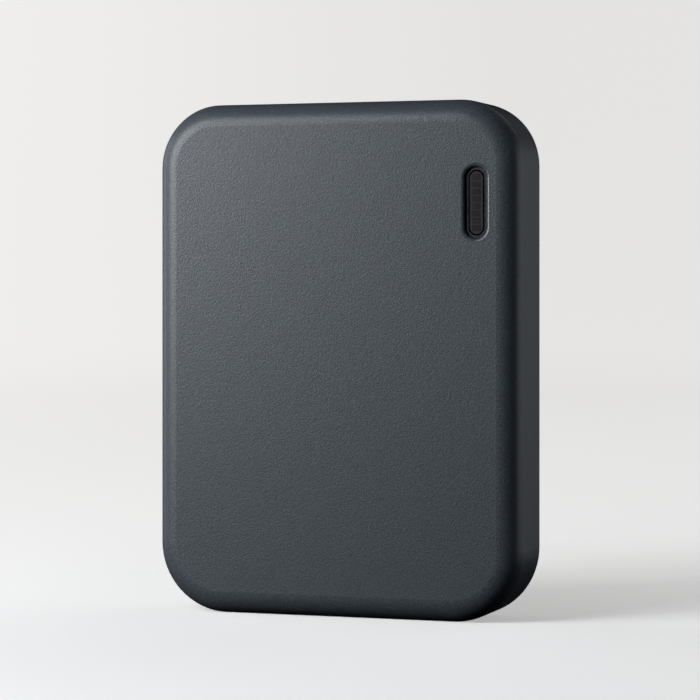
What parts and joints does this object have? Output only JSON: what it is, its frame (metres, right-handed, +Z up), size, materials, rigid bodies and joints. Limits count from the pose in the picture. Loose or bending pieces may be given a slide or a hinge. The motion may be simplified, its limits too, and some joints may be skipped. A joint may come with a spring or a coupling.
{
  "type": "external solid state drive",
  "caption": "Pocket-size external solid state drive in a rounded two-piece moulded case, with an upright data port in its grained face and its boards, chips and heat spreader inside.",
  "frame": {"origin": "middle of the bottom edge of the case, on the plane that it stands on", "axes": "+Z up the height of the standing drive, +X across its width to the right seen from the front, and the grained face with the port looks along -Y"},
  "size_m": [0.049, 0.011, 0.066],
  "materials": {
    "grained_cover": "moulded, dark slate grey, fine pebbled grain",
    "smooth_shell": "moulded, dark slate grey, smooth satin",
    "drawn_steel": "drawn sheet, dark satin plating",
    "port_moulding": "moulded, warm dark grey",
    "contact_plating": "plated, dull copper red",
    "black_moulding": "moulded, black",
    "foam_rubber": "closed-cell foam, matte black",
    "circuit_board": "glass laminate under green solder mask",
    "screw_steel": "zinc plated",
    "chip_resin": "moulded epoxy, matte black",
    "gap_filler": "soft silicone, pale grey-blue",
    "inductor_core": "sintered ferrite, dark grey",
    "capacitor_ceramic": "fired ceramic, tan, with tinned ends",
    "resistor_ceramic": "glazed black, with tinned ends",
    "gold_plating": "gold plated",
    "turned_brass": "turned brass",
    "spreader_sheet": "rolled sheet, folded edges, plain"
  },
  "bodies": {
    "root": {"front_cover": "grained_cover", "rear_shell": "smooth_shell", "port_shell": "drawn_steel", "port_insert": "port_moulding", "port_contacts": "contact_plating", "port_base": "black_moulding", "port_seal": "foam_rubber", "main_board": "circuit_board", "board_screws": "screw_steel", "bridge_chip": "chip_resin", "bridge_pad": "gap_filler", "power_chip": "chip_resin", "inductors": "inductor_core", "crystal": "drawn_steel", "boot_chip": "chip_resin", "capacitors": "capacitor_ceramic", "resistors": "resistor_ceramic", "module_socket": "black_moulding", "socket_leads": "gold_plating", "module_board": "circuit_board", "module_contacts": "gold_plating", "module_post": "turned_brass", "module_screw": "screw_steel", "controller_chip": "chip_resin", "memory_chip": "chip_resin", "flash_chip_1": "chip_resin", "flash_chip_2": "chip_resin", "module_capacitors": "capacitor_ceramic", "chip_pad": "gap_filler", "heat_spreader": "spreader_sheet"}
  },
  "joints": []
}
